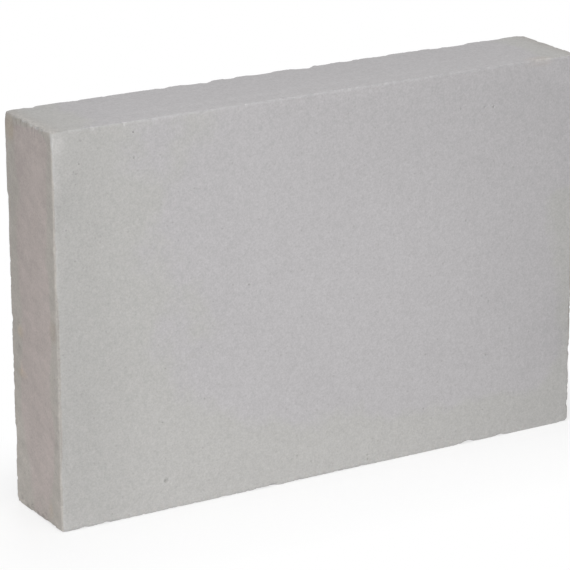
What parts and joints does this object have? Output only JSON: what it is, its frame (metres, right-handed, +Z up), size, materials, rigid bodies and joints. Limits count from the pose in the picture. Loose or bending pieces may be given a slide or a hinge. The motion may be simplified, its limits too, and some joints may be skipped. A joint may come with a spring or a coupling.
{
  "type": "aerated concrete block",
  "caption": "Thin rectangular aerated concrete partition block with flat wire-cut faces, plain ends and worn, chipped edges.",
  "frame": {"origin": "middle of the bottom bed, the long narrow face that the block stands on", "axes": "+X along the block's length, +Y through its thickness from the front face to the back face, +Z up its height"},
  "size_m": [0.6, 0.1, 0.4],
  "materials": {
    "aerated_concrete": "dry matt light grey foamed concrete with a fine sandy pore grain, slightly warmer and darker on the two ends"
  },
  "bodies": {
    "root": {"block": "aerated_concrete"}
  },
  "joints": []
}
